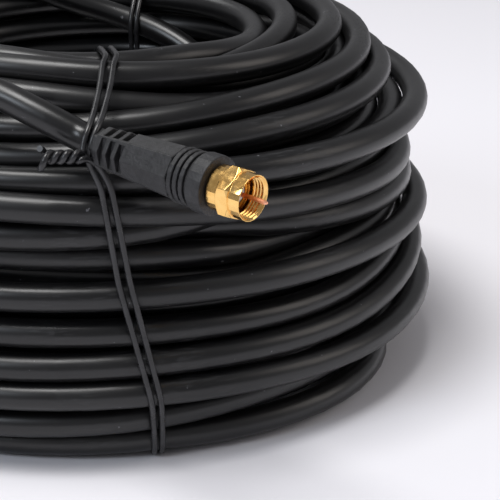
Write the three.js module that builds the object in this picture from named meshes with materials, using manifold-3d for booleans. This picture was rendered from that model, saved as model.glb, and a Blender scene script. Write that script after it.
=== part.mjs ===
// A coil of coaxial aerial cable with a moulded screw-on plug on each end and two wire ties.
// Millimetres, +Z up. The coil lies flat as a ring, and the origin is the middle of the box
// around the whole part, at floor level.
import * as THREE from 'three';
import { mergeVertices } from 'three/addons/utils/BufferGeometryUtils.js';
import Module from 'manifold-3d';

const wasm = await Module();
wasm.setup();

// Cable and coil
const cableDiameter = 6.9;
const coilOuterRadius = 95.5;
const coilBoreRadius = 50;
const coilHeight = 96;
const turnPitch = 6.7;
const domeWidth = 28;
const domeHeight = 38;
const crestRadius = 10;
const footRadius = 8;
const coilSides = 36;
const leadStraight = 1.8;

// Moulded boot of a plug
const neckLength = 2.2;
const neckRadius = 4.1;
const bootRearRadius = 4.9;
const bootFrontRadius = 6.2;
const bootBodyLength = 21.6;
const ribRadius = 6.2;
const ribCount = 3;
const ribWidth = 1.15;
const grooveWidth = 0.45;
const grooveDepth = 0.8;
const collarRadius = 6.6;
const collarLength = 4.4;
const collarRound = 0.7;
const slotRows = 3;
const slotWidth = 1.5;
const slotPitch = 2.65;
const slotSetback = 1.3;
const slotDepth = 1.6;
const slotSpan = 6.2;

// Metal parts of a plug
const runningClearance = 0.3;
const nutLength = 9;
const nutSleeveLength = 3;
const nutSleeveRadius = 5;
const nutHexLength = 3.2;
const nutHexAcrossFlats = 10.6;
const nutBarrelRadius = 5.05;
const nutThreadRadius = 4.55;
const nutShoulder = 0.6;
const nutChamfer = 0.35;
const postShankRadius = 2.9;
const postBoreRadius = 2.4;
const postFlangeRadius = 3.9;
const postFlangeLength = 1.1;
const postRootLength = 5.5;
const pinRadius = 0.51;
const pinReach = 3.6;
const pinRootLength = 4;

// Wire ties
const tieWireRadius = 0.65;
const tieSpacing = 2.8;
const tieSetback = 3;
const tieKnotDrop = 10;
const pigtailLength = 11;
const pigtailTwists = 2;
const frontTieLean = 14;
const rearTie = { azimuth: 166, knotHeight: 50, lean: 0, slant: 0 };

const cableRadius = cableDiameter / 2;
const restHeight = coilHeight + cableRadius;
const outsideRadius = coilOuterRadius + cableRadius;
const boreSideRadius = coilBoreRadius - cableRadius;

// Where each plug starts: azimuth from the front in degrees, and how far in and down it is
// from a cable that would touch the coil's outside or bore and lie on its top. It runs with or
// against growing azimuth, turned outward from the coil's tangent, and falls towards its nut.
// The outer one stands off the front, and the inner one is put away inside the bore.
const outerPlugInset = 4.75;
const outerPlugDrop = 17.45;
const innerPlugInset = 6.65;
const innerPlugDrop = 59.45;
const outerEnd = {
  azimuth: 7.3,
  radius: outsideRadius - outerPlugInset,
  height: restHeight - outerPlugDrop,
  way: 1,
  outward: 45,
  fall: 4.6,
};
const innerEnd = {
  azimuth: -16,
  radius: boreSideRadius - innerPlugInset,
  height: restHeight - innerPlugDrop,
  way: -1,
  outward: -26,
  fall: 2,
};

// Free stretches of cable, chosen by hand: azimuth, then in and down as for the plugs.
const outerLead = [
  [-62, 23.25, 1.85], [-48, 22.15, 1.95], [-36, 20.75, 2.45], [-25, 18.95, 3.45],
  [-15, 16.15, 5.25], [-7, 12.75, 8.05], [-1, 9.55, 11.45], [3.6, 7.55, 14.85],
].map(([azimuth, inset, drop]) => [azimuth, outsideRadius - inset, restHeight - drop]);
const innerLead = [
  [226, -7.85, 2.05], [214, -3.65, 5.45], [202, -0.45, 10.05], [190, 0.65, 14.05],
  [178, 0.65, 17.05], [166, 0.65, 20.05], [154, 0.65, 23.45], [142, 0.65, 27.65],
  [130, 0.65, 31.85], [118, 0.65, 35.85], [106, 0.65, 39.45], [94, 0.65, 42.65],
  [82, 0.65, 45.45], [70, 0.65, 48.05], [58, 0.65, 50.45], [46, 0.65, 52.65], [34, 0.65, 54.65],
  [22, 0.95, 56.25], [11, 1.65, 57.65], [0, 3.15, 58.55], [-9, 5.05, 59.15],
].map(([azimuth, inset, drop]) => [azimuth, boreSideRadius - inset, restHeight - drop]);

const nutBackWall = nutSleeveLength + nutShoulder;
const hexSides = 6;
const roundSides = 24;
const cordSides = 12;
const wireSides = 6;
const bootSides = 8;
const joinOverlap = 1;

const jacket = new THREE.MeshStandardMaterial({ color: 0x1b1b1d, roughness: 0.45, metalness: 0 });
const bootVinyl = new THREE.MeshStandardMaterial({ color: 0x2b2b2e, roughness: 0.7, metalness: 0 });
const gold = new THREE.MeshStandardMaterial({ color: 0xe0b25c, roughness: 0.2, metalness: 1 });
const copper = new THREE.MeshStandardMaterial({ color: 0xc46a45, roughness: 0.25, metalness: 1 });
const foam = new THREE.MeshStandardMaterial({ color: 0xe8e6df, roughness: 0.6, metalness: 0 });
const tieVinyl = new THREE.MeshStandardMaterial({ color: 0x151516, roughness: 0.35, metalness: 0 });

// Solids and cuts

function toSolid(geometry) {
  const bare = geometry.clone();
  bare.deleteAttribute('normal');
  bare.deleteAttribute('uv');
  const merged = mergeVertices(bare, 1e-4);
  return new wasm.Manifold(new wasm.Mesh({
    numProp: 3,
    vertProperties: new Float32Array(merged.attributes.position.array),
    triVerts: new Uint32Array(merged.index.array),
  }));
}

function toGeometry(solid) {
  const mesh = solid.getMesh();
  const geometry = new THREE.BufferGeometry();
  geometry.setAttribute('position', new THREE.BufferAttribute(new Float32Array(mesh.vertProperties), 3));
  geometry.setIndex(new THREE.BufferAttribute(new Uint32Array(mesh.triVerts), 1));
  geometry.computeVertexNormals();
  return geometry;
}

/** Joins some geometries and takes others away from them. A crumb that a cut leaves goes too. */
function combine(joined, cut = []) {
  let solid = toSolid(joined[0]);
  for (const piece of joined.slice(1)) {
    solid = solid.add(toSolid(piece));
  }
  for (const piece of cut) {
    solid = solid.subtract(toSolid(piece));
  }
  const bodies = solid.decompose().sort((a, b) => b.volume() - a.volume());
  return toGeometry(bodies[0]);
}

/** A body turned about the local Z axis from [radius, height] points that close on themselves. */
function turned(outline, sides) {
  const points = outline.map(([radius, height]) => new THREE.Vector2(radius, height));
  if (outline[0][0] > 0 || outline.at(-1)[0] > 0) {
    points.push(points[0].clone());
  }
  return new THREE.LatheGeometry(points, sides).rotateX(Math.PI / 2);
}

/** A plain round, or many-sided, bar from one height to another on the local Z axis. */
function bar(radius, from, to, sides = roundSides) {
  return turned([[0, from], [radius, from], [radius, to], [0, to]], sides);
}

/** A route of straight stretches, with one step of an extrusion at each of its points. */
class Route extends THREE.Curve {
  constructor(points) {
    super();
    this.points = points;
  }

  getPoint(t, target = new THREE.Vector3()) {
    const place = t * (this.points.length - 1);
    const stretch = Math.min(Math.floor(place), this.points.length - 2);
    return target.lerpVectors(this.points[stretch], this.points[stretch + 1], place - stretch);
  }

  getUtoTmapping(u) {
    return u;
  }
}

function tube(points, radius, sides) {
  const section = new THREE.Shape();
  for (let side = 0; side < sides; side += 1) {
    const angle = (2 * Math.PI * side) / sides;
    const corner = [radius * Math.cos(angle), radius * Math.sin(angle)];
    if (side === 0) {
      section.moveTo(...corner);
    } else {
      section.lineTo(...corner);
    }
  }
  section.closePath();
  return new THREE.ExtrudeGeometry(section, {
    steps: points.length - 1,
    extrudePath: new Route(points),
    bevelEnabled: false,
  });
}

/** A point beside the coil's axis, from its azimuth in degrees, radius and height. */
function polar(azimuth, radius, height) {
  const angle = THREE.MathUtils.degToRad(azimuth);
  return new THREE.Vector3(radius * Math.sin(angle), -radius * Math.cos(angle), height);
}

// Coil

/** The line through the middles of the outermost turns, in one half section of the coil. */
function turnLine() {
  const inner = coilBoreRadius + cableRadius;
  const outer = coilOuterRadius - cableRadius;
  const floor = cableRadius;
  const top = coilHeight - cableRadius;
  const foot = footRadius - cableRadius;
  const line = new THREE.Path();
  line.moveTo((inner + outer) / 2, floor);
  line.lineTo(outer - foot, floor);
  line.absarc(outer - foot, floor + foot, foot, -Math.PI / 2, 0, false);
  line.lineTo(outer, top - domeHeight);
  line.absellipse(outer - domeWidth, top - domeHeight, domeWidth, domeHeight, 0, Math.PI / 2, false);
  line.lineTo(inner + crestRadius, top);
  line.absarc(inner + crestRadius, top - crestRadius, crestRadius, Math.PI / 2, Math.PI, false);
  line.lineTo(inner, floor + foot);
  line.absarc(inner + foot, floor + foot, foot, Math.PI, 1.5 * Math.PI, false);
  line.lineTo((inner + outer) / 2, floor);
  return line;
}

function turnCentres() {
  const line = turnLine();
  const count = Math.round(line.getLength() / turnPitch);
  return line.getSpacedPoints(count).slice(0, count);
}

/** The coil's half section: each outermost turn shows as a ridge with a flat on its crest.
 *  The coil's weight flattens its foot, so nothing there is lower than the floor. */
function coilOutline(centres) {
  const flat = cableRadius * Math.tan(Math.PI / 8);
  const outline = [];
  centres.forEach((centre, index) => {
    const next = centres[(index + 1) % centres.length];
    const last = centres[(index + centres.length - 1) % centres.length];
    const along = next.clone().sub(last).normalize();
    const out = new THREE.Vector2(along.y, -along.x);
    for (const side of [-1, 1]) {
      const crest = centre.clone().addScaledVector(out, cableRadius);
      outline.push(crest.addScaledVector(along, side * flat).toArray());
    }
    const chord = next.clone().sub(centre);
    const valley = Math.sqrt(Math.max(cableRadius ** 2 - (chord.length() / 2) ** 2, 0));
    const dip = new THREE.Vector2(chord.y, -chord.x).normalize().multiplyScalar(valley);
    outline.push(centre.clone().addScaledVector(chord, 0.5).add(dip).toArray());
  });
  return outline.map(([radius, height]) => [radius, Math.max(height, 0)]);
}

// Ends and ties

/** The plug's place and direction, from where it leaves the coil. */
function plugFrame(end) {
  const azimuth = THREE.MathUtils.degToRad(end.azimuth);
  const outward = THREE.MathUtils.degToRad(end.outward);
  const fall = THREE.MathUtils.degToRad(end.fall);
  const radial = new THREE.Vector3(Math.sin(azimuth), -Math.cos(azimuth), 0);
  const tangent = new THREE.Vector3(Math.cos(azimuth), Math.sin(azimuth), 0);
  const along = new THREE.Vector3()
    .addScaledVector(tangent, end.way * Math.cos(outward) * Math.cos(fall))
    .addScaledVector(radial, Math.sin(outward) * Math.cos(fall));
  along.z = -Math.sin(fall);
  return { start: polar(end.azimuth, end.radius, end.height), along };
}

function bootGeometry() {
  const bodyStart = neckLength;
  const ribStart = bodyStart + bootBodyLength;
  const collarStart = ribStart + ribCount * (ribWidth + grooveWidth) + grooveWidth;
  const bootLength = collarStart + collarLength;
  const body = turned([
    [0, bodyStart - runningClearance], [bootRearRadius, bodyStart - runningClearance],
    [bootFrontRadius, ribStart], [0, ribStart],
  ], bootSides);
  const ringed = [[0, ribStart - joinOverlap], [ribRadius - grooveDepth, ribStart - joinOverlap]];
  for (let rib = 0; rib < ribCount; rib += 1) {
    const back = ribStart + grooveWidth + rib * (ribWidth + grooveWidth);
    ringed.push([ribRadius - grooveDepth, back], [ribRadius, back]);
    ringed.push([ribRadius, back + ribWidth], [ribRadius - grooveDepth, back + ribWidth]);
  }
  ringed.push([ribRadius - grooveDepth, collarStart], [collarRadius - collarRound, collarStart]);
  ringed.push([collarRadius, collarStart + collarRound], [collarRadius, bootLength]);
  ringed.push([0, bootLength]);
  const slots = [];
  for (let row = 0; row < slotRows; row += 1) {
    const middle = bodyStart + slotSetback + slotWidth / 2 + row * slotPitch;
    for (let side = 0; side < 4; side += 1) {
      const slot = new THREE.BoxGeometry(slotSpan, 2 * slotDepth, slotWidth);
      slot.translate(0, bootRearRadius, middle);
      slots.push(slot.rotateZ(((side + 0.5) * Math.PI) / 2));
    }
  }
  const neck = bar(neckRadius, 0, bodyStart, bootSides);
  const postBoreEnds = [bootLength - postRootLength - joinOverlap, bootLength + joinOverlap];
  const postBore = bar(postShankRadius + runningClearance, ...postBoreEnds);
  const geometry = combine([body, neck, turned(ringed, roundSides)], [...slots, postBore]);
  return { geometry, bootLength };
}

/** The nut from its back face: a round sleeve, a chamfered hexagon and a threaded barrel. */
function nutGeometry() {
  const hexEnd = nutSleeveLength + nutHexLength;
  const cornerRadius = nutHexAcrossFlats / 2 / Math.cos(Math.PI / hexSides);
  const flatRadius = nutHexAcrossFlats / 2;
  const sleeve = turned([
    [0, 0], [nutSleeveRadius - nutChamfer, 0], [nutSleeveRadius, nutChamfer],
    [nutSleeveRadius, nutSleeveLength + joinOverlap], [0, nutSleeveLength + joinOverlap],
  ], roundSides);
  const prism = toSolid(bar(cornerRadius, nutSleeveLength, hexEnd, hexSides));
  const cornerCut = toSolid(turned([
    [0, nutSleeveLength], [flatRadius, nutSleeveLength], [cornerRadius, nutSleeveLength + 2 * nutChamfer],
    [cornerRadius, hexEnd - 2 * nutChamfer], [flatRadius, hexEnd], [0, hexEnd],
  ], roundSides));
  const hexagon = toGeometry(prism.intersect(cornerCut));
  const barrel = bar(nutBarrelRadius, hexEnd - joinOverlap, nutLength);
  const bore = turned([
    [0, -joinOverlap], [postShankRadius + runningClearance, -joinOverlap],
    [postShankRadius + runningClearance, nutBackWall],
    [nutThreadRadius, nutBackWall], [nutThreadRadius, nutLength - nutChamfer],
    [nutThreadRadius + nutChamfer, nutLength], [nutThreadRadius + nutChamfer, nutLength + joinOverlap],
    [0, nutLength + joinOverlap],
  ], roundSides);
  return combine([sleeve, hexagon, barrel], [bore]);
}

/** The post from the nut's back face: a shank rooted in the boot, with a flange in the nut. */
function postGeometry() {
  const root = -postRootLength;
  const flangeBack = nutBackWall + runningClearance;
  const flangeFront = flangeBack + postFlangeLength;
  return turned([
    [postBoreRadius, root], [postShankRadius, root], [postShankRadius, flangeBack],
    [postFlangeRadius, flangeBack], [postFlangeRadius, flangeFront], [postBoreRadius, flangeFront],
  ], roundSides);
}

function insulatorGeometry() {
  const outer = postBoreRadius - runningClearance;
  const inner = pinRadius + runningClearance;
  const front = nutBackWall + runningClearance + postFlangeLength;
  return turned([[inner, -postRootLength], [outer, -postRootLength], [outer, front], [inner, front]], roundSides);
}

function pinGeometry() {
  const tip = nutLength + pinReach;
  return turned([
    [0, -pinRootLength], [pinRadius, -pinRootLength], [pinRadius, tip - pinRadius],
    [pinRadius / 2, tip], [0, tip],
  ], cordSides);
}

/** The corners of the tightest loop around a set of points in a half section. */
function convexLoop(points) {
  const sorted = [...points].sort((a, b) => a.x - b.x || a.y - b.y);
  const turn = (a, b, c) => (b.x - a.x) * (c.y - a.y) - (b.y - a.y) * (c.x - a.x);
  const chain = (list) => {
    const kept = [];
    for (const point of list) {
      while (kept.length > 1 && turn(kept.at(-2), kept.at(-1), point) <= 1e-6) {
        kept.pop();
      }
      kept.push(point);
    }
    return kept.slice(0, -1);
  };
  return [...chain(sorted), ...chain(sorted.reverse())];
}

/** Where a point lies beside the coil's axis. */
function section(point) {
  return {
    azimuth: THREE.MathUtils.radToDeg(Math.atan2(point.x, -point.y)),
    radius: Math.hypot(point.x, point.y),
    height: point.z,
  };
}

/** Where a stretch of cable, given by its chosen points, passes an azimuth. */
function passing(lead, azimuth) {
  const next = lead.findIndex((point) => point[0] <= azimuth);
  const [from, to] = [lead[next - 1], lead[next]];
  const share = (azimuth - from[0]) / (to[0] - from[0]);
  const mix = (index) => from[index] + share * (to[index] - from[index]);
  return { azimuth, radius: mix(1), height: mix(2) };
}

/** A tie's wire: two turns around the coil and the cables beside it, with its ends twisted.
 *  It crosses the first cable squarely and leans aside below its knot. */
function tieRoute(tie, crossings) {
  const reach = cableRadius + runningClearance + tieWireRadius;
  const corners = [];
  const addCorners = (x, y, radius) => {
    for (let corner = 0; corner < 8; corner += 1) {
      const angle = ((corner + 0.5) * Math.PI) / 4;
      const far = radius / Math.cos(Math.PI / 8);
      corners.push(new THREE.Vector2(x + far * Math.cos(angle), y + far * Math.sin(angle)));
    }
  };
  turnCentres().forEach((centre) => addCorners(centre.x, centre.y, reach));
  crossings.forEach((cable) => addCorners(cable.radius, cable.height, reach + cableRadius / 2));
  const lowest = tieWireRadius + runningClearance / 2;
  const loop = convexLoop(corners).map((corner) => corner.setY(Math.max(corner.y, lowest)));
  const wallRadius = Math.max(...loop.map((corner) => corner.x));
  const degreesPerMm = 180 / Math.PI / wallRadius;
  const place = (radius, height, side) => {
    const lean = tie.lean * Math.max(1 - height / tie.knotHeight, 0);
    const past = THREE.MathUtils.clamp(radius - crossings[0].radius, -reach, reach);
    const aside = (side * tieSpacing) / 2 + lean - tie.slant * past;
    return polar(tie.azimuth + aside * degreesPerMm, radius, height);
  };
  // The loop runs from just above the knot, over the top, down the bore and back up outside.
  const wallStart = coilOuterRadius - domeWidth;
  const first = loop.findIndex((corner) => corner.x > wallStart && corner.y > tie.knotHeight);
  const ordered = [...loop.slice(first), ...loop.slice(0, first)];
  const knotOut = wallRadius + 2 * tieWireRadius + runningClearance;
  const helix = tieWireRadius + runningClearance / 2;
  const steps = 6 * pigtailTwists;
  const pigtail = (side) => Array.from({ length: steps + 1 }, (_, step) => {
    const turnAngle = (2 * Math.PI * pigtailTwists * step) / steps + (side > 0 ? 0 : Math.PI);
    const aside = tieSpacing + tie.slant * reach + (pigtailLength * step) / steps;
    const radius = knotOut + helix * (1 + Math.sin(turnAngle));
    const height = tie.knotHeight - helix * Math.cos(turnAngle);
    return polar(tie.azimuth - aside * degreesPerMm, radius, height);
  });
  return [
    ...pigtail(-1).reverse(),
    ...ordered.map((corner) => place(corner.x, corner.y, -1)),
    place(wallRadius, tie.knotHeight - 2 * tieSpacing, -1),
    place(wallRadius, tie.knotHeight + tieSpacing, 1),
    ...ordered.map((corner) => place(corner.x, corner.y, 1)),
    place(wallRadius, tie.knotHeight - 3 * tieSpacing, 1),
    place(knotOut, tie.knotHeight - tieSpacing, 0),
    ...pigtail(1),
  ];
}

function addMesh(parent, name, geometry, material) {
  const mesh = new THREE.Mesh(geometry, material);
  mesh.name = name;
  parent.add(mesh);
  return mesh;
}

/** One end of the cable: its free stretch and the plug on it. */
function buildEnd(name, end, lead) {
  const { start, along } = plugFrame(end);
  const { geometry: boot, bootLength } = bootGeometry();
  const plug = new THREE.Group();
  plug.position.copy(start);
  plug.quaternion.setFromUnitVectors(new THREE.Vector3(0, 0, 1), along);
  addMesh(plug, `boot_${name}`, boot, bootVinyl);
  const nutBack = bootLength + runningClearance;
  addMesh(plug, `post_${name}`, postGeometry(), gold).position.z = nutBack;
  addMesh(plug, `insulator_${name}`, insulatorGeometry(), foam).position.z = nutBack;
  addMesh(plug, `pin_${name}`, pinGeometry(), copper).position.z = nutBack;
  addMesh(plug, `nut_${name}`, nutGeometry(), gold).position.z = nutBack;

  const set = new THREE.Group();
  set.add(plug);
  const straight = [leadStraight, runningClearance].map(
    (back) => start.clone().addScaledVector(along, -back),
  );
  const route = [...lead.map((point) => polar(...point)), ...straight];
  addMesh(set, `lead_${name}`, tube(route, cableRadius, cordSides), jacket);
  return set;
}

const coil = new THREE.Group();
coil.add(buildEnd('outer', outerEnd, outerLead), buildEnd('inner', innerEnd, innerLead));

const outerPlug = plugFrame(outerEnd);
const held = section(outerPlug.start.clone().addScaledVector(outerPlug.along, -tieSetback));
const frontTie = {
  azimuth: held.azimuth,
  knotHeight: held.height - tieKnotDrop,
  lean: frontTieLean,
  slant: Math.tan(THREE.MathUtils.degToRad(outerEnd.outward)),
};
const tieRoutes = {
  tie_front: tieRoute(frontTie, [held, passing(innerLead, held.azimuth)]),
  tie_rear: tieRoute(rearTie, [passing(innerLead, rearTie.azimuth)]),
};
for (const [name, route] of Object.entries(tieRoutes)) {
  addMesh(coil, name, tube(route, tieWireRadius, wireSides), tieVinyl);
}

// The turns give way to each tie where it runs under them.
const tieChannels = Object.values(tieRoutes).map(
  (route) => tube(route, tieWireRadius + runningClearance, bootSides),
);
addMesh(coil, 'coil_turns', combine([turned(coilOutline(turnCentres()), coilSides)], tieChannels), jacket);

const box = new THREE.Box3().setFromObject(coil, true);
const middle = box.getCenter(new THREE.Vector3());
coil.position.set(-middle.x, -middle.y, -box.min.z);

const part = new THREE.Group();
part.add(coil);

export default part;
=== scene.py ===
import math

import bpy
import numpy as np
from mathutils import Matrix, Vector


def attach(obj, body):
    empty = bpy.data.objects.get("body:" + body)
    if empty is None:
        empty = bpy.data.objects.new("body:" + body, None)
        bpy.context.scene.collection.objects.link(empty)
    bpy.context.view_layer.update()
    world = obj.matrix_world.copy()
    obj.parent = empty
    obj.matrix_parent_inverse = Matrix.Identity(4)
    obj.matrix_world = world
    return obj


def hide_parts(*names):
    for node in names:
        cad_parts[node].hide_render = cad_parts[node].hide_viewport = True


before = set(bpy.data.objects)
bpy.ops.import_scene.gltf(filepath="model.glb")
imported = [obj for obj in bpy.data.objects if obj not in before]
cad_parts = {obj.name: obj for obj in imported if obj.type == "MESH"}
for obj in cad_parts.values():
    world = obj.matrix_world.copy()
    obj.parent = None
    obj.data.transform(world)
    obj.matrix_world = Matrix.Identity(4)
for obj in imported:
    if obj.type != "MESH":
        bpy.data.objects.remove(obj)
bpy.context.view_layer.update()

# Camera: it stands half a metre from the coil and looks down on its front right part through
# a long lens, so that the coil runs out of the picture on the left and at the top.
COIL_MIDDLE = Vector((0, 0.013629, 0))
CAMERA_PLACE = Vector((0.045, -0.429, 0.183))
CAMERA_DIP = 20.5
CAMERA_LENS = 114.5

camera_data = bpy.data.cameras.new("camera")
camera_data.lens = CAMERA_LENS
camera_data.sensor_width = 36
camera_data.clip_start = 0.01
camera_data.clip_end = 20
camera = bpy.data.objects.new("camera", camera_data)
camera.location = COIL_MIDDLE + CAMERA_PLACE
camera.rotation_euler = (math.radians(90 - CAMERA_DIP), 0, 0)
bpy.context.scene.collection.objects.link(camera)
bpy.context.scene.camera = camera

# Cable: one 30 m length of 75 ohm aerial cable in a smooth black PVC jacket. It is wound by
# hand into a loose coil, in five hidden layers and one outside, and every turn rests against
# its neighbours. Only the two ties hold it.
CABLE_DIAMETER = 0.0069
CABLE_RADIUS = CABLE_DIAMETER / 2
CABLE_SIDES = 16
STEP = 5
STEPS_A_TURN = 360 // STEP

# Each hidden layer: its number of turns, radius, and its first and last turn's height.
HIDDEN_LAYERS = [
    (11, 0.0535, 0.0900, 0.0045),
    (11, 0.0612, 0.0045, 0.0860),
    (10, 0.0689, 0.0820, 0.0045),
    (10, 0.0766, 0.0045, 0.0740),
    (8, 0.0830, 0.0680, 0.0045),
]
# Each outside turn from the foot up, as (radius, height) in millimetres at five azimuths
# from the front to the right. From there it climbs round the back to the next turn.
OUTSIDE_AZIMUTHS = (-5, 15, 30, 48, 85)
OUTSIDE_TURNS = [
    ((83, 4), (85, 5), (86, 4.4), (91, 5.6), (79, 5)),
    ((88, 11.3), (88.5, 12), (87, 13.5), (85.5, 14), (84, 14)),
    ((92, 20.2), (92.3, 20.6), (92.5, 20.5), (93, 17.8), (92.8, 18.5)),
    ((91.2, 27.2), (91, 27.6), (91, 27.6), (91.2, 25.4), (89.5, 31)),
    ((90, 35.7), (90, 35.3), (89.5, 34.4), (86.5, 31), (84.6, 35.8)),
    ((91.2, 45), (91.2, 45), (91.5, 45), (91.8, 44.2), (91.2, 41.6)),
    ((87, 54.3), (87, 53.3), (84, 50.5), (80, 49.5), (78, 49)),
    ((81.5, 58.7), (82.5, 58.3), (84.3, 57), (85.5, 53), (85.3, 47.5)),
    ((85.5, 64.3), (85, 65.3), (84.3, 66.5), (83.8, 67.5), (83.5, 68)),
    ((92.5, 68.3), (92, 64.3), (90, 62.2), (87.5, 59.3), (85.6, 54.4)),
    ((86.5, 71.4), (89, 71.6), (91.3, 72), (91.8, 71.6), (89.4, 70)),
    ((80.5, 74.6), (82.5, 76.6), (84, 78.6), (83.3, 78.8), (79.6, 79.4)),
    ((74.5, 80), (76.5, 81.4), (78, 83.3), (77, 84.6), (73.3, 84.3)),
    ((70, 89), (70, 83.3), (70, 81), (69.5, 80.8), (68, 81.5)),
    ((65, 92.2), (65.5, 89.6), (66, 88.5), (66.5, 88.7), (66.6, 89.5)),
]
# Slack turns round the hole: whole turns since the start, azimuth, radius and height.
SLACK_TURNS = [
    (1, 40, 50, 88), (1, 90, 45.5, 85.5), (1, 150, 50.5, 86),
    (22, 90, 54, 90), (22, 180, 59, 88),
    (22, 350, 58, 93.8), (23, 0, 58, 90.5), (23, 7, 58.3, 88), (23, 30, 59.5, 85), (23, 80, 64, 82),
]
# The free stretches at both ends, as (azimuth in degrees, radius, height).
OUTER_LEAD = [
    (-62, 0.0757, 0.0976), (-48, 0.0768, 0.0975), (-36, 0.0782, 0.0970), (-25, 0.0800, 0.0960),
    (-15, 0.0828, 0.0942), (-7, 0.0862, 0.0914), (-1, 0.0894, 0.0880), (3.6, 0.0914, 0.0846),
]
INNER_LEAD = [
    (226, 0.0544, 0.0974), (214, 0.0502, 0.0940), (202, 0.0470, 0.0894), (190, 0.0459, 0.0854),
    (178, 0.0459, 0.0824), (166, 0.0459, 0.0794), (154, 0.0459, 0.0760), (142, 0.0459, 0.0718),
    (130, 0.0459, 0.0676), (118, 0.0459, 0.0636), (106, 0.0459, 0.0600), (94, 0.0459, 0.0568),
    (82, 0.0459, 0.0540), (70, 0.0459, 0.0514), (58, 0.0459, 0.0490), (46, 0.0459, 0.0468),
    (34, 0.0459, 0.0448), (22, 0.0456, 0.0432), (11, 0.0449, 0.0418), (0, 0.0434, 0.0409),
    (-9, 0.0415, 0.0403),
]
LEAD_STRAIGHT = 0.0018
LEAD_END_GAP = 0.0003
# Where the ties run under the coil, and how far on each side they lift its lowest turns.
TIE_FEET = (15, 166)
TIE_FOOT_SPREAD = 5
TIE_FOOT_ROOM = 0.0002
TIE_RADIUS = 0.00075
# How the turns settle: the rounds, how many of them still pull towards the plan, the air left
# between turns, and the slices at each end that may touch the free stretches.
SETTLE_ROUNDS = 420
HELD_ROUNDS = 380
TURN_AIR = 0.00012
END_SLICES = 12


def beside_axis(azimuth, radius, height):
    """The point at an azimuth from the front, a distance from the coil's axis and a height."""
    turn = math.radians(azimuth)
    return COIL_MIDDLE + Vector((radius * math.sin(turn), -radius * math.cos(turn), height))


def plug_place(azimuth, radius, height, way, outward, fall):
    """Where a plug's boot starts, and the direction in which the plug points."""
    turn, out, down = (math.radians(angle) for angle in (azimuth, outward, fall))
    radial = Vector((math.sin(turn), -math.cos(turn), 0))
    tangent = Vector((math.cos(turn), math.sin(turn), 0))
    level = way * math.cos(out) * tangent + math.sin(out) * radial
    along = math.cos(down) * level - Vector((0, 0, math.sin(down)))
    return beside_axis(azimuth, radius, height), along


OUTER_PLUG = plug_place(7.3, 0.0942, 0.0820, 1, 45, 4.6)
INNER_PLUG = plug_place(-16, 0.0399, 0.0400, -1, -26, 2)


def winding_plan():
    """Where every turn is meant to lie: azimuth, radius, height and how firmly it is held."""
    plan = [(230, 0.0556, 0.0974, 0.3), (250, 0.0568, 0.0960, 0.2), (290, 0.0550, 0.0925, 0.1)]
    azimuth = 300
    for turns, radius, first, last in HIDDEN_LAYERS:
        for turn in range(1, turns):
            height = first + (last - first) * turn / turns
            sway = 0.0009 * math.sin(2.4 * turn + 700 * radius)
            plan.append((azimuth + 360 * turn, radius + sway, height, 0.02))
        azimuth += 360 * turns
        plan.append((azimuth - 90, radius, last, 0.02))
    for turn, at, radius, height in SLACK_TURNS:
        plan.append((360 * turn + at, radius / 1000, height / 1000, 0.25))
    outside = 360 * round(azimuth / 360)
    for turn, stations in enumerate(OUTSIDE_TURNS):
        front = outside + 360 * turn
        plan.append((front - 60, stations[0][0] / 1000, stations[0][1] / 1000, 0.1))
        for at, (radius, height) in zip(OUTSIDE_AZIMUTHS, stations):
            plan.append((front + at, radius / 1000, height / 1000, 0.4))
        plan.append((front + 105, stations[-1][0] / 1000, stations[-1][1] / 1000, 0.2))
    end = outside + 360 * len(OUTSIDE_TURNS) - 65
    plan += [(end - 35, 0.0715, 0.0968, 0.3), (end, 0.0756, 0.0976, 0.3)]
    plan.sort()
    azimuths = np.arange(230, end + STEP / 2, STEP)
    columns = np.array(plan).T
    return azimuths, *(np.interp(azimuths, columns[0], column) for column in columns[1:])


def smooth_lead(lead):
    """A lead's points with two more in each gap, on one smooth line."""
    points = [lead[0], *lead, lead[-1]]
    smooth = []
    for before, start, end, after in zip(points, points[1:], points[2:], points[3:]):
        for share in (0, 1 / 3, 2 / 3):
            a, b, c, d = (np.array(point) for point in (before, start, end, after))
            bend = (2 * a - 5 * b + 4 * c - d) * share ** 2 + (3 * b - a - 3 * c + d) * share ** 3
            smooth.append(b + ((c - a) * share + bend) / 2)
    return [*smooth, np.array(lead[-1])]


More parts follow.
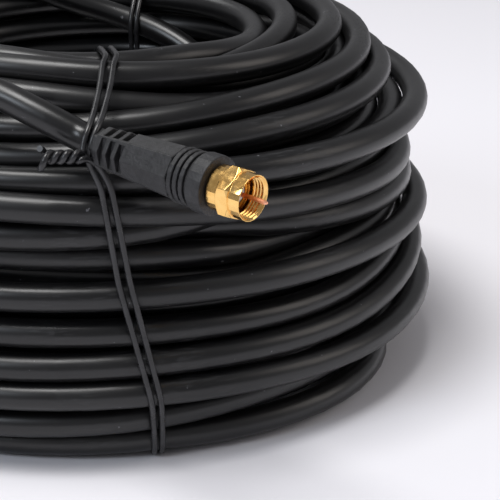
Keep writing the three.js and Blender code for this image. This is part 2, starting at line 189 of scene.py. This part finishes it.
def settle_turns():
    """Lets the turns give way to each other until they lie side by side, on the floor and
    clear of the free stretches. Returns their azimuths, radii and heights."""
    azimuths, radii, heights, hold = winding_plan()
    count = len(azimuths)
    place = np.stack([radii, heights], axis=1)
    wanted = place.copy()
    slices = (np.round(azimuths / STEP).astype(int)) % STEPS_A_TURN
    order = [np.flatnonzero(slices == index) for index in range(STEPS_A_TURN)]

    near_tie = [np.abs((azimuths - tie + 180) % 360 - 180) for tie in TIE_FEET]
    lifted = sum(np.exp(-(gap / TIE_FOOT_SPREAD) ** 2) for gap in near_tie)
    floor = CABLE_RADIUS + lifted * (2 * TIE_RADIUS + TIE_FOOT_ROOM)

    leads = [np.array(smooth_lead(lead)) for lead in (OUTER_LEAD, INNER_LEAD)]
    blocked = []
    for lead in leads:
        lead = lead[np.argsort(lead[:, 0])]
        first = math.ceil(lead[0, 0] / STEP)
        for index in range(first, math.floor(lead[-1, 0] / STEP) + 1):
            at = [np.interp(index * STEP, lead[:, 0], lead[:, side]) for side in (1, 2)]
            touched = order[index % STEPS_A_TURN]
            touched = touched[(touched > END_SLICES) & (touched < count - END_SLICES)]
            blocked.append((touched, np.array(at)))

    clear = CABLE_DIAMETER + TURN_AIR
    for settling in range(SETTLE_ROUNDS):
        held = settling < HELD_ROUNDS
        if settling % 15 == 0:
            firsts, seconds = [], []
            for group in order:
                gap = place[group][:, None] - place[group][None]
                a, b = np.nonzero(np.triu(np.hypot(gap[..., 0], gap[..., 1]) < 2 * clear, 1))
                firsts.append(group[a])
                seconds.append(group[b])
            first, second = np.concatenate(firsts), np.concatenate(seconds)
        gap = place[first] - place[second]
        distance = np.maximum(np.hypot(gap[:, 0], gap[:, 1]), 1e-5)
        short = np.maximum(clear - distance, 0) / distance
        push = gap * short[:, None] * 0.45
        for side in (0, 1):
            place[:, side] += np.bincount(first, push[:, side], count)
            place[:, side] -= np.bincount(second, push[:, side], count)
        for touched, at in blocked:
            gap = place[touched] - at
            distance = np.maximum(np.hypot(gap[:, 0], gap[:, 1]), 1e-5)
            place[touched] += gap * (np.maximum(clear - distance, 0) / distance)[:, None]
        if held:
            place += (wanted - place) * (hold * 0.25)[:, None]
        middle = (place[:-2] + place[2:]) / 2
        place[1:-1] += (middle - place[1:-1]) * (0.3 if held else 0.1)
        place[:, 1] = np.maximum(place[:, 1], floor)
        place[0], place[-1] = wanted[0], wanted[-1]
    return azimuths, place


def cable_tube(name, path, radius, sides):
    """A closed round tube along a list of points."""
    path = np.array(path)
    along = np.gradient(path, axis=0)
    along /= np.linalg.norm(along, axis=1)[:, None]
    aside = np.cross(along, (0, 0, 1))
    aside /= np.linalg.norm(aside, axis=1)[:, None]
    up = np.cross(aside, along)
    turn = np.arange(sides) * 2 * math.pi / sides
    rings = path[:, None] + radius * (
        np.cos(turn)[None, :, None] * aside[:, None] + np.sin(turn)[None, :, None] * up[:, None]
    )
    count = len(path)
    ring, side = np.meshgrid(np.arange(count - 1), np.arange(sides), indexing="ij")
    beside = (side + 1) % sides
    faces = np.stack([
        ring * sides + side, (ring + 1) * sides + side,
        (ring + 1) * sides + beside, ring * sides + beside,
    ], axis=-1).reshape(-1, 4)
    start_cap = tuple(range(sides))
    end_cap = tuple(range(count * sides - 1, (count - 1) * sides - 1, -1))
    mesh = bpy.data.meshes.new(name)
    mesh.from_pydata(rings.reshape(-1, 3).tolist(), [], [*faces.tolist(), start_cap, end_cap])
    mesh.shade_smooth()
    mesh.update()
    tube = bpy.data.objects.new(name, mesh)
    bpy.context.scene.collection.objects.link(tube)
    return tube


turn_azimuths, turn_places = settle_turns()
cable_path = [
    beside_axis(azimuth, radius, height)
    for azimuth, (radius, height) in zip(turn_azimuths, turn_places)
]
outer_start, outer_along = OUTER_PLUG
inner_start, inner_along = INNER_PLUG
outer_free = [beside_axis(*point) for point in smooth_lead(OUTER_LEAD)]
inner_free = [beside_axis(*point) for point in smooth_lead(INNER_LEAD)]
cable_path = [
    inner_start - LEAD_END_GAP * inner_along,
    inner_start - LEAD_STRAIGHT * inner_along,
    *inner_free[::-1],
    *cable_path,
    *outer_free[1:],
    outer_start - LEAD_STRAIGHT * outer_along,
    outer_start - LEAD_END_GAP * outer_along,
]
cable = cable_tube("coaxial_cable", cable_path, CABLE_RADIUS, CABLE_SIDES)


def new_finish(name):
    """A new material, its shader and a function that adds a node with the given settings."""
    material = bpy.data.materials.new(name)
    material.use_nodes = True
    tree = material.node_tree

    def add(kind, inputs=(), **settings):
        node = tree.nodes.new(kind)
        for setting, value in settings.items():
            setattr(node, setting, value)
        for socket, value in dict(inputs).items():
            if isinstance(value, bpy.types.NodeSocket):
                tree.links.new(value, node.inputs[socket])
            else:
                node.inputs[socket].default_value = value
        return node

    return material, tree.nodes["Principled BSDF"], add, tree.links.new


def patches(add, vector, scale, low, high, detail=3):
    """A mask that is 0 where a noise is under low, and 1 where it is over high."""
    noise = add("ShaderNodeTexNoise", {"Vector": vector, "Scale": scale, "Detail": detail})
    ramp = add("ShaderNodeMapRange", {
        "Value": noise.outputs["Fac"], "From Min": low, "From Max": high,
    })
    return ramp.outputs["Result"]


WINDING_RADIUS = 0.085


def along_turns(add, point, stretch):
    """Coordinates that run along the turns, so that a noise comes out drawn along the cable."""
    apart = add("ShaderNodeSeparateXYZ", {"Vector": point})
    depth = add("ShaderNodeMath", {0: apart.outputs["Y"], 1: COIL_MIDDLE.y}, operation="SUBTRACT")
    turn = add("ShaderNodeMath", {0: apart.outputs["X"], 1: depth.outputs[0]}, operation="ARCTAN2")
    arc = add("ShaderNodeMath", {0: turn.outputs[0], 1: WINDING_RADIUS / stretch}, operation="MULTIPLY")
    x_square = add("ShaderNodeMath", {0: apart.outputs["X"], 1: 2.0}, operation="POWER")
    y_square = add("ShaderNodeMath", {0: depth.outputs[0], 1: 2.0}, operation="POWER")
    square = add("ShaderNodeMath", {0: x_square.outputs[0], 1: y_square.outputs[0]}, operation="ADD")
    radius = add("ShaderNodeMath", {0: square.outputs[0], 1: 0.5}, operation="POWER")
    joined = add("ShaderNodeCombineXYZ", {
        "X": arc.outputs[0], "Y": radius.outputs[0], "Z": apart.outputs["Z"],
    })
    return joined.outputs["Vector"]


jacket_pvc, jacket_shader, add, link = new_finish("jacket_pvc")
here = add("ShaderNodeTexCoord").outputs["Object"]
drawn = along_turns(add, here, 6)
mottle = patches(add, here, 45, 0.35, 0.7)
pvc_colour = add("ShaderNodeMix", {
    "Factor": mottle, "A": (0.0032, 0.0032, 0.0036, 1), "B": (0.0072, 0.0070, 0.0074, 1),
}, data_type="RGBA")
scuff_place = patches(add, here, 28, 0.52, 0.68)
scuff_grain = patches(add, drawn, 1500, 0.52, 0.62, 4)
scuffs = add("ShaderNodeMath", {0: scuff_place, 1: scuff_grain}, operation="MULTIPLY")
scuffs = add("ShaderNodeMath", {0: scuffs.outputs[0], 1: 0.55}, operation="MULTIPLY").outputs[0]
scuffed = add("ShaderNodeMix", {
    "Factor": scuffs, "A": pvc_colour.outputs["Result"], "B": (0.034, 0.034, 0.036, 1),
}, data_type="RGBA")
specks = patches(add, here, 620, 0.74, 0.77, 2)
dusty = add("ShaderNodeMix", {
    "Factor": specks, "A": scuffed.outputs["Result"], "B": (0.11, 0.11, 0.12, 1),
}, data_type="RGBA")
link(dusty.outputs["Result"], jacket_shader.inputs["Base Color"])
sheen_mask = patches(add, drawn, 130, 0.3, 0.75)
roughness = add("ShaderNodeMapRange", {"Value": sheen_mask, "To Min": 0.28, "To Max": 0.42})
rougher = add("ShaderNodeMath", {0: scuffs, 1: 0.25, 2: roughness.outputs[0]}, operation="MULTIPLY_ADD")
link(rougher.outputs[0], jacket_shader.inputs["Roughness"])
skin = add("ShaderNodeTexNoise", {"Vector": drawn, "Scale": 900, "Detail": 4})
skin_bump = add("ShaderNodeBump", {
    "Height": skin.outputs["Fac"], "Strength": 0.35, "Distance": 0.00004,
})
link(skin_bump.outputs["Normal"], jacket_shader.inputs["Normal"])
cable.data.materials.append(jacket_pvc)

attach(cable, "coil")
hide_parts("coil_turns", "lead_outer", "lead_inner")

# Ties: two short lengths of iron wire in a glossy black plastic coat. Each goes twice round the
# coil and over the free cable beside it, is drawn tight, and its two ends are twisted together.
TIE_SIDES = 12
TIE_GAP = 0.00015
WIRE_STEP = 0.0012
# A twisted tail: where it starts past the knot and off the wall, and how its end splays.
TAIL_START = 0.001
TAIL_STANDOFF = 0.0012
TAIL_POINTS = 60
SPLAY_FROM = 0.8
SPLAY = 1.3
# The front tie, seen along its way: height in millimetres, azimuth and half the wires' gap.
FRONT_TIE_OUTSIDE = [
    (0, 15.2, 0.9), (20, 13.9, 1.1), (50, 9.9, 1.3), (73, 7.9, 1.1), (78, 6.6, 0.9),
    (81, 5.4, 0.8), (85, 5.9, 0.9), (92, 9, 1.2), (97, 11, 1.3),
]
FRONT_TIE_INSIDE = [(0, 15.2, 0.9), (96, 11, 1.3)]
REAR_TIE_OUTSIDE = [(0, 166, 1.2), (45, 166, 1.2), (49, 166, 0.9), (55, 166, 1.2), (97, 166, 1.2)]
REAR_TIE_INSIDE = [(0, 166, 0.9), (97, 166, 0.9)]


def cables_at(azimuth):
    """Radius and height of every cable that passes an azimuth."""
    place = np.array(cable_path) - np.array(COIL_MIDDLE)
    turn = np.degrees(np.unwrap(np.arctan2(place[:, 0], -place[:, 1])))
    radius, height = np.hypot(place[:, 0], place[:, 1]), place[:, 2]
    first = math.ceil((turn.min() - azimuth) / 360)
    rounds = azimuth + 360 * np.arange(first, math.floor((turn.max() - azimuth) / 360) + 1)
    return [(np.interp(at, turn, radius), np.interp(at, turn, height)) for at in rounds]


def tightest_loop(cables):
    """The corners of the shortest line round the cables in a half section of the coil,
    one wire's radius clear of them. It starts outside and runs up, in and down the bore."""
    reach = CABLE_RADIUS + TIE_RADIUS + TIE_GAP
    corners = sorted(
        (radius + reach * math.cos(turn), max(height + reach * math.sin(turn), TIE_RADIUS))
        for radius, height in cables for turn in np.arange(24) * math.pi / 12
    )
    chains = []
    for row in (corners, corners[::-1]):
        kept = []
        for corner in row:
            while len(kept) > 1:
                (x0, y0), (x1, y1) = kept[-2:]
                if (x1 - x0) * (corner[1] - y0) - (y1 - y0) * (corner[0] - x0) > 0:
                    break
                kept.pop()
            kept.append(corner)
        chains += kept[:-1]
    return chains


def tie_wire(name, knot_height, outside, inside, knot_azimuth, pigtail):
    """A tie: twice round the coil, past its knot, with both ends twisted into a pigtail."""
    loop = np.array(tightest_loop(cables_at(knot_azimuth)))
    wall = loop[:, 0].max()
    middle = (loop[:, 0].max() + loop[:, 0].min()) / 2
    on_wall = (loop[:, 0] > middle) & (loop[:, 1] > knot_height)
    start = int(np.flatnonzero(on_wall)[np.argmin(loop[on_wall, 1])])
    loop = np.roll(loop, -start, axis=0)
    share = (knot_height - loop[-1, 1]) / (loop[0, 1] - loop[-1, 1])
    below = (loop[-1] + share * (loop[0] - loop[-1]))[None]
    loop = np.concatenate([below, loop, below])
    lengths = np.concatenate([[0], np.cumsum(np.hypot(*np.diff(loop, axis=0).T))])
    steps = np.arange(0, lengths[-1], WIRE_STEP)
    loop = np.stack([np.interp(steps, lengths, loop[:, side]) for side in (0, 1)], axis=1)
    for _ in range(2):
        loop[1:-1] = (loop[:-2] + 2 * loop[1:-1] + loop[2:]) / 4

    def wire(side):
        points = []
        for radius, height in loop:
            table = np.array(outside if radius > middle else inside).T
            azimuth, gap = (np.interp(height * 1000, table[0], row) for row in table[1:])
            azimuth += side * math.degrees(gap / 1000 / radius)
            points.append(beside_axis(azimuth, radius, height))
        return points

    def tail(side):
        points = []
        turns, length, coil_radius = pigtail
        for step in np.linspace(0, 1, TAIL_POINTS):
            turn = 2 * math.pi * turns * step + side * math.pi / 2
            spread = coil_radius * (1 + SPLAY * max(step - SPLAY_FROM, 0) / (1 - SPLAY_FROM))
            azimuth = knot_azimuth - math.degrees((TAIL_START + length * step) / wall)
            radius = wall + TAIL_STANDOFF + spread * (1 + math.sin(turn)) * 0.9
            points.append(beside_axis(azimuth, radius, knot_height + spread * math.cos(turn)))
        return points

    points = np.array([*tail(-1)[::-1], *wire(-1), *wire(1), *tail(1)])
    for _ in range(3):
        points[1:-1] = (points[:-2] + 2 * points[1:-1] + points[2:]) / 4
    curve = bpy.data.curves.new(name, "CURVE")
    curve.dimensions = "3D"
    curve.bevel_depth = TIE_RADIUS
    curve.bevel_resolution = TIE_SIDES // 4 - 1
    curve.use_fill_caps = True
    spline = curve.splines.new("POLY")
    spline.points.add(len(points) - 1)
    spline.points.foreach_set("co", np.column_stack([points, np.ones(len(points))]).ravel())
    tie = bpy.data.objects.new(name, curve)
    bpy.context.scene.collection.objects.link(tie)
    return tie


tie_plastic, tie_shader, add, link = new_finish("tie_plastic")
here = add("ShaderNodeTexCoord").outputs["Object"]
tie_colour = add("ShaderNodeMix", {
    "Factor": patches(add, here, 260, 0.4, 0.7),
    "A": (0.008, 0.008, 0.009, 1), "B": (0.022, 0.022, 0.024, 1),
}, data_type="RGBA")
link(tie_colour.outputs["Result"], tie_shader.inputs["Base Color"])
tie_roughness = add("ShaderNodeMapRange", {
    "Value": patches(add, here, 500, 0.3, 0.7), "To Min": 0.24, "To Max": 0.38,
})
link(tie_roughness.outputs[0], tie_shader.inputs["Roughness"])
front_tie = tie_wire(
    "front_tie_wire", 0.0811, FRONT_TIE_OUTSIDE, FRONT_TIE_INSIDE, 5.6, (2.25, 0.0088, 0.0010),
)
rear_tie = tie_wire(
    "rear_tie_wire", 0.0500, REAR_TIE_OUTSIDE, REAR_TIE_INSIDE, 166, (2.75, 0.0125, 0.0010),
)
for tie, node in ((front_tie, "tie_front"), (rear_tie, "tie_rear")):
    tie.data.materials.append(tie_plastic)
    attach(tie, "coil")
    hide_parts(node)

# Boots: soft vinyl moulded over the end of the cable and the root of the post. The mould's
# walls are finely eroded, so the skin is matte, and every edge is a little rounded.
BOOT_EDGE = 0.00028


def soften_edges(node, width, segments):
    """Rounds the edges of a carried-over solid without changing its mesh."""
    weld = node.modifiers.new("weld", "WELD")
    weld.merge_threshold = 0.00001
    bevel = node.modifiers.new("edges", "BEVEL")
    bevel.width = width
    bevel.segments = segments
    bevel.limit_method = "ANGLE"
    bevel.angle_limit = math.radians(32)
    bevel.use_clamp_overlap = True
    bevel.harden_normals = True


def refinish(node, material):
    """Gives a carried-over solid a new material."""
    node.data.materials.clear()
    node.data.materials.append(material)


boot_vinyl, boot_shader, add, link = new_finish("boot_vinyl")
here = add("ShaderNodeTexCoord").outputs["Object"]
vinyl_colour = add("ShaderNodeMix", {
    "Factor": patches(add, here, 700, 0.35, 0.7, 5),
    "A": (0.009, 0.009, 0.010, 1), "B": (0.020, 0.020, 0.022, 1),
}, data_type="RGBA")
link(vinyl_colour.outputs["Result"], boot_shader.inputs["Base Color"])
vinyl_roughness = add("ShaderNodeMapRange", {
    "Value": patches(add, here, 300, 0.3, 0.7), "To Min": 0.48, "To Max": 0.62,
})
link(vinyl_roughness.outputs[0], boot_shader.inputs["Roughness"])
grain = add("ShaderNodeTexNoise", {"Vector": here, "Scale": 1700, "Detail": 4})
grain_bump = add("ShaderNodeBump", {
    "Height": grain.outputs["Fac"], "Strength": 0.8, "Distance": 0.00016,
})
link(grain_bump.outputs["Normal"], boot_shader.inputs["Normal"])
for side in ("outer", "inner"):
    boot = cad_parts[f"boot_{side}"]
    soften_edges(boot, BOOT_EDGE, 3)
    refinish(boot, boot_vinyl)

# Nuts and posts: turned and milled brass, polished and plated with gold.
gold_plate, gold_shader, add, link = new_finish("gold_plate")
here = add("ShaderNodeTexCoord").outputs["Object"]
gold_shader.inputs["Metallic"].default_value = 1
gold_colour = add("ShaderNodeMix", {
    "Factor": patches(add, here, 380, 0.35, 0.7),
    "A": (0.95, 0.61, 0.22, 1), "B": (0.86, 0.5, 0.15, 1),
}, data_type="RGBA")
link(gold_colour.outputs["Result"], gold_shader.inputs["Base Color"])
gold_roughness = add("ShaderNodeMapRange", {
    "Value": patches(add, here, 900, 0.4, 0.75, 5), "To Min": 0.14, "To Max": 0.28,
})
link(gold_roughness.outputs[0], gold_shader.inputs["Roughness"])
turning = add("ShaderNodeTexNoise", {"Vector": here, "Scale": 1200, "Detail": 3})
turning_bump = add("ShaderNodeBump", {
    "Height": turning.outputs["Fac"], "Strength": 0.25, "Distance": 0.00003,
})
link(turning_bump.outputs["Normal"], gold_shader.inputs["Normal"])
NUT_EDGE = 0.00012
for side in ("outer", "inner"):
    soften_edges(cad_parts[f"nut_{side}"], NUT_EDGE, 2)
    refinish(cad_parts[f"nut_{side}"], gold_plate)
    refinish(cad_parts[f"post_{side}"], gold_plate)

# Threads: the screw thread cut in each nut's bore, of 32 turns an inch. It starts past the
# post's flange and runs out just inside the nut's mouth.
THREAD_PITCH = 0.00079
THREAD_WALL = 0.0046
THREAD_CREST = 0.0042
THREAD_START = 0.0052
THREAD_END = 0.0086
THREAD_STEPS = 48
RUN_OUT_STEPS = 8
# Half the ridge's width at its root and at its crest, as shares of the pitch.
ROOT_HALF = 0.45
CREST_HALF = 0.08
# From the back end of a boot to the back of the nut.
NUT_BACK = 0.03375


def cut_thread(name, plug):
    """A ridge that winds round a nut's bore, with its root just inside the nut's wall."""
    start, along = plug
    nut_back = start + NUT_BACK * along
    aim = along.to_track_quat("Z", "Y")
    steps = math.ceil((THREAD_END - THREAD_START) / THREAD_PITCH * THREAD_STEPS)
    corners = []
    for step in range(steps + 1):
        turn = 2 * math.pi * step / THREAD_STEPS
        height = THREAD_START + THREAD_PITCH * step / THREAD_STEPS
        ends = min(1, step / RUN_OUT_STEPS, (steps - step) / RUN_OUT_STEPS)
        crest = THREAD_WALL + (THREAD_CREST - THREAD_WALL) * max(ends, 0.05)
        for radius, rise in (
            (THREAD_WALL, -ROOT_HALF), (crest, -CREST_HALF), (crest, CREST_HALF), (THREAD_WALL, ROOT_HALF),
        ):
            x, y = radius * math.cos(turn), radius * math.sin(turn)
            corners.append(nut_back + aim @ Vector((x, y, height + rise * THREAD_PITCH)))
    faces = [
        (4 * step + side, 4 * step + (side + 1) % 4, 4 * step + 4 + (side + 1) % 4, 4 * step + 4 + side)
        for step in range(steps) for side in range(4)
    ]
    faces += [(3, 2, 1, 0), tuple(4 * steps + side for side in range(4))]
    mesh = bpy.data.meshes.new(name)
    mesh.from_pydata(corners, [], faces)
    mesh.update()
    thread = bpy.data.objects.new(name, mesh)
    bpy.context.scene.collection.objects.link(thread)
    return thread


for side, plug in (("outer", OUTER_PLUG), ("inner", INNER_PLUG)):
    thread = cut_thread(f"thread_{side}", plug)
    thread.data.materials.append(gold_plate)
    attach(thread, f"nut_{side}")

# Centre wires: bare drawn copper, cut off square with a bright end.
bare_copper, copper_shader, add, link = new_finish("bare_copper")
here = add("ShaderNodeTexCoord").outputs["Object"]
copper_shader.inputs["Metallic"].default_value = 1
copper_colour = add("ShaderNodeMix", {
    "Factor": patches(add, here, 160, 0.35, 0.65),
    "A": (0.95, 0.47, 0.3, 1), "B": (0.88, 0.38, 0.22, 1),
}, data_type="RGBA")
link(copper_colour.outputs["Result"], copper_shader.inputs["Base Color"])
copper_shader.inputs["Roughness"].default_value = 0.3
for side in ("outer", "inner"):
    refinish(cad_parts[f"pin_{side}"], bare_copper)

# Insulation: the white foamed polyethylene round the centre wire, seen inside the post.
white_foam, foam_shader, add, link = new_finish("white_foam")
here = add("ShaderNodeTexCoord").outputs["Object"]
foam_colour = add("ShaderNodeMix", {
    "Factor": patches(add, here, 1500, 0.4, 0.6),
    "A": (0.78, 0.76, 0.71, 1), "B": (0.62, 0.6, 0.55, 1),
}, data_type="RGBA")
link(foam_colour.outputs["Result"], foam_shader.inputs["Base Color"])
foam_shader.inputs["Roughness"].default_value = 0.7
for side in ("outer", "inner"):
    refinish(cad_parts[f"insulator_{side}"], white_foam)

# Studio floor and light: a plain pale table that runs back without an edge. The main softbox
# hangs a little in front of the coil. One at the back left casts its shadow to the lower right,
# and two weak ones fill in, cool from the left and warm from the right.
floor_mesh = bpy.data.meshes.new("studio_floor")
floor_mesh.from_pydata([(-4, -4, 0), (4, -4, 0), (4, 4, 0), (-4, 4, 0)], [], [(0, 1, 2, 3)])
studio_floor = bpy.data.objects.new("studio_floor", floor_mesh)
bpy.context.scene.collection.objects.link(studio_floor)
floor_paint = bpy.data.materials.new("floor_paint")
floor_paint.use_nodes = True
floor_shader = floor_paint.node_tree.nodes["Principled BSDF"]
floor_shader.inputs["Base Color"].default_value = (0.84, 0.83, 0.87, 1)
floor_shader.inputs["Roughness"].default_value = 0.8
floor_mesh.materials.append(floor_paint)


def soft_light(name, place, target, size, power, colour):
    """A square softbox at a place, turned towards a point."""
    data = bpy.data.lights.new(name, "AREA")
    data.shape = "RECTANGLE"
    data.size, data.size_y = size
    data.energy = power
    data.color = colour
    light = bpy.data.objects.new(name, data)
    light.location = place
    light.rotation_euler = (Vector(target) - Vector(place)).to_track_quat("-Z", "Y").to_euler()
    bpy.context.scene.collection.objects.link(light)


soft_light("overhead_softbox", (-0.25, -0.25, 1.35), (0, 0, 0.04), (0.7, 0.55), 15, (1, 0.99, 0.98))
soft_light("back_softbox", (-0.65, 0.9, 1.15), (0, 0, 0.04), (0.7, 0.5), 3, (1, 1, 1))
soft_light("front_softbox", (-1.0, -1.0, 1.0), (0, 0, 0.04), (0.55, 0.55), 8, (0.84, 0.91, 1))
soft_light("side_softbox", (1.3, -0.1, 0.7), (0.05, 0, 0.05), (0.6, 0.8), 3, (1, 0.92, 0.86))

studio_air = bpy.data.worlds.new("studio_air")
studio_air.use_nodes = True
studio_air.node_tree.nodes["Background"].inputs["Color"].default_value = (0.93, 0.93, 0.97, 1)
studio_air.node_tree.nodes["Background"].inputs["Strength"].default_value = 0.3
bpy.context.scene.world = studio_air
bpy.context.scene.view_settings.view_transform = "Standard"
